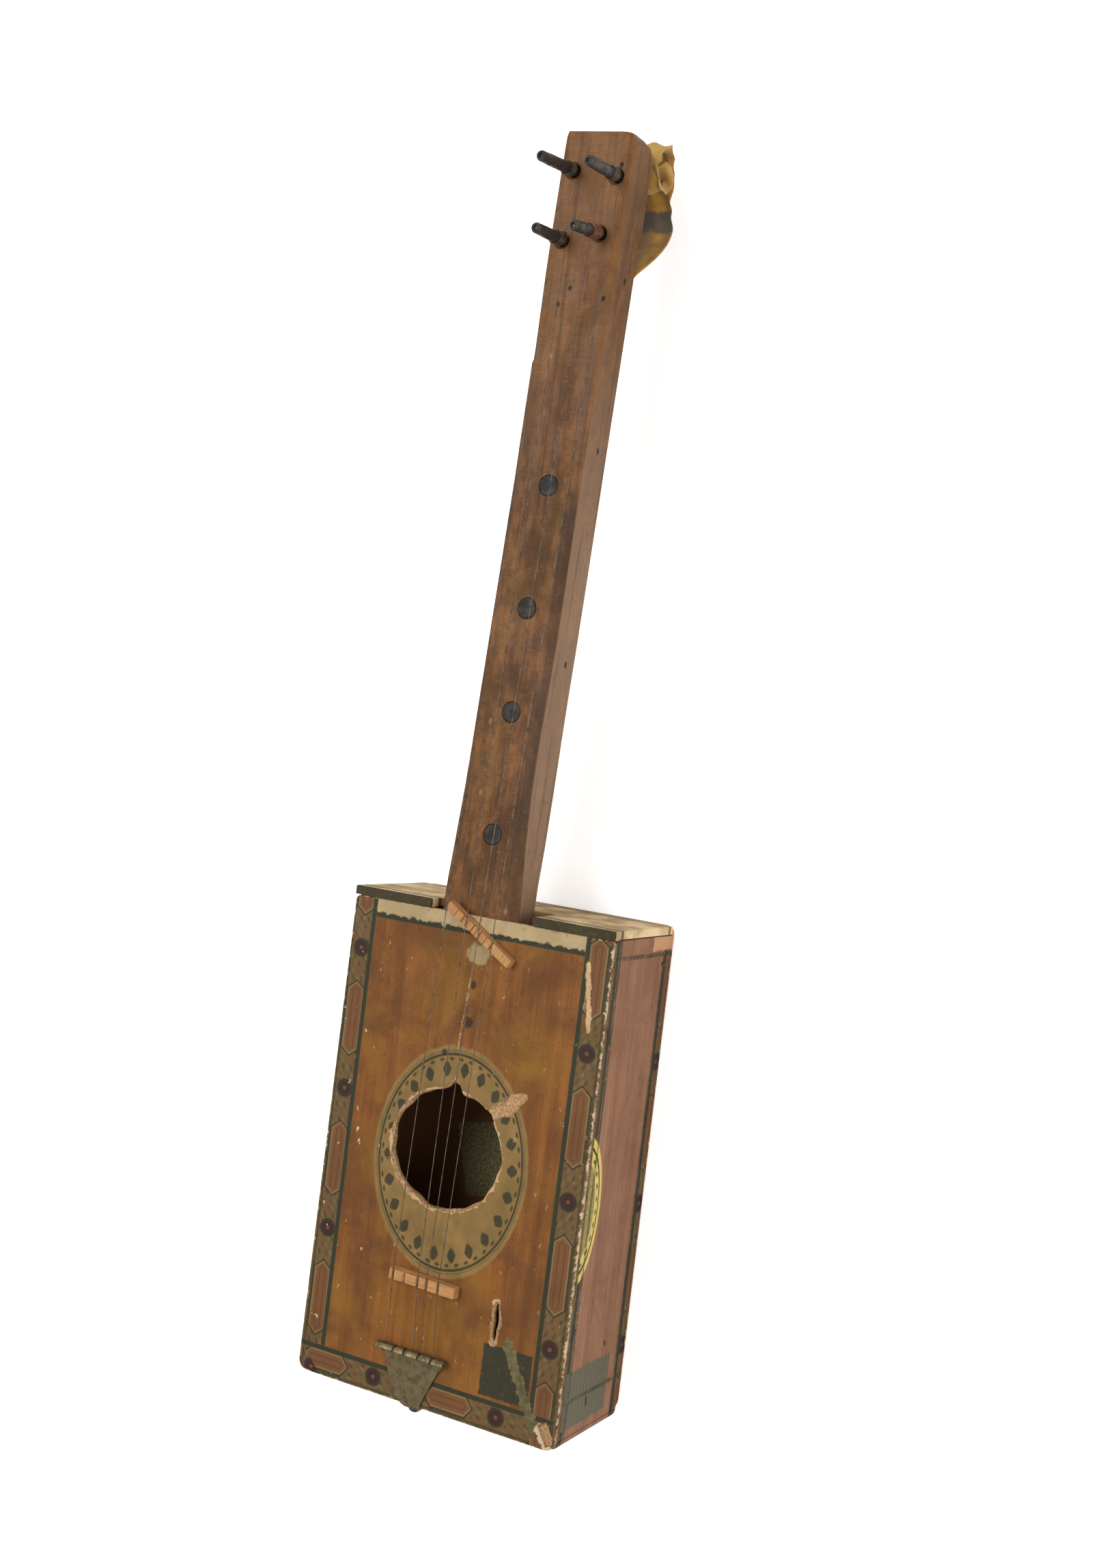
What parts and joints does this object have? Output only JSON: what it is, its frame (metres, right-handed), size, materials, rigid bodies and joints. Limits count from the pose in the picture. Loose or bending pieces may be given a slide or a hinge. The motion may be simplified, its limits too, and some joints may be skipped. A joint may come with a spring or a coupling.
{
  "type": "cigar box banjo",
  "caption": "Home-made box banjo: thin wooden cigar box body with a torn sound hole, one-plank neck, straight tuning pins, loose bridge and sheet metal tailpiece.",
  "frame": {"origin": "centre of the box's back face; the instrument lies on its back", "axes": "+X across to the right seen from the front, +Y along the neck to the headstock, +Z out of the soundboard"},
  "size_m": [0.1378, 0.585, 0.0885],
  "materials": {
    "soundboard_wood": "old stained cedar with a worn paper border",
    "case_wood": "old red-brown cedar, worn paper edging",
    "papered_end": "wood under yellowed, worn paper",
    "neck_wood": "dark hand-worn plank",
    "raw_stick_wood": "whittled bare wood",
    "dark_inlay": "dark, nearly black discs",
    "blued_steel": "blued, dull",
    "string_wire": "tarnished plain wire",
    "copper_wire": "copper-coloured wrapped wire",
    "aged_brass": "dull, tarnished sheet",
    "gold_ribbon": "faded gold silk"
  },
  "bodies": {
    "instrument": {"back_panel": "case_wood", "bridge": "raw_stick_wood", "left_side": "case_wood", "neck": "neck_wood", "neck_end_panel": "papered_end", "position_dot_1": "dark_inlay", "position_dot_2": "dark_inlay", "position_dot_3": "dark_inlay", "position_dot_4": "dark_inlay", "ribbon": "gold_ribbon", "ribbon_tack": "blued_steel", "right_side": "case_wood", "slipped_nut": "raw_stick_wood", "soundboard": "soundboard_wood", "string_1": "string_wire", "string_2": "string_wire", "string_3": "string_wire", "string_4": "string_wire", "tail_end_panel": "case_wood", "tailpiece": "aged_brass", "tailpiece_screw": "blued_steel"},
    "pin_1": {"tuning_pin_1": "blued_steel", "string_winding_1": "string_wire"},
    "pin_2": {"tuning_pin_2": "blued_steel", "string_winding_2": "string_wire"},
    "pin_3": {"tuning_pin_3": "blued_steel", "string_winding_3": "string_wire"},
    "pin_4": {"tuning_pin_4": "blued_steel", "string_winding_4": "copper_wire"}
  },
  "joints": [
    {"name": "pin_1_turn", "type": "hinge", "parent": "instrument", "child": "pin_1", "pos_m": [-0.0017, 0.4443, 0.059], "axis": [0, -0.0958, 0.9954], "continuous": true},
    {"name": "pin_2_turn", "type": "hinge", "parent": "instrument", "child": "pin_2", "pos_m": [0.0203, 0.4412, 0.059], "axis": [0, -0.0523, 0.9986], "continuous": true},
    {"name": "pin_3_turn", "type": "hinge", "parent": "instrument", "child": "pin_3", "pos_m": [-0.0032, 0.4135, 0.059], "axis": [0, -0.0523, 0.9986], "continuous": true},
    {"name": "pin_4_turn", "type": "hinge", "parent": "instrument", "child": "pin_4", "pos_m": [0.0153, 0.4162, 0.059], "axis": [0, -0.1305, 0.9914], "continuous": true}
  ]
}
